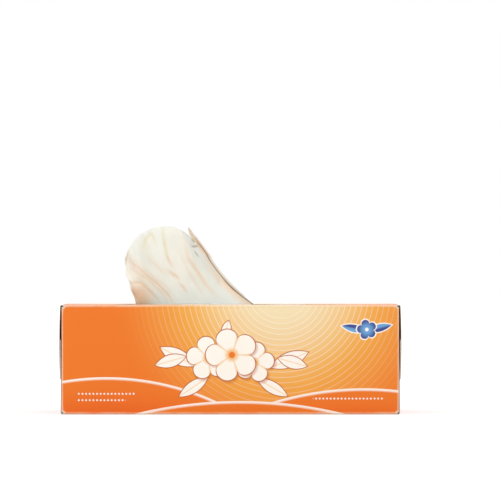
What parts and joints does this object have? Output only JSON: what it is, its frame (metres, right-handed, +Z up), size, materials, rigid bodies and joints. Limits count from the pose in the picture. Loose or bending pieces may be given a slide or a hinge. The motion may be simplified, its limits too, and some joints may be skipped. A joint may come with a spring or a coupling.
{
  "type": "tissue box",
  "caption": "Flat folded-board box of facial tissues, with an oval opening in its top closed by a slit film window, and the first tissue standing up through the slit.",
  "frame": {"origin": "middle of the bottom panel's outer face, on the surface that the box stands on", "axes": "+Z up, +X along the box to the right of its front panel, -Y towards the viewer of the front panel"},
  "size_m": [0.2168, 0.106, 0.1187],
  "materials": {
    "printed_board": "printed board with a light gloss varnish",
    "clear_film": "thin clear glossy film",
    "stacked_tissue": "matt pressed tissue",
    "soft_tissue": "soft matt crepe tissue"
  },
  "bodies": {
    "root": {"carton": "printed_board", "film_window": "clear_film", "tissue_stack": "stacked_tissue", "raised_tissue": "soft_tissue"}
  },
  "joints": []
}
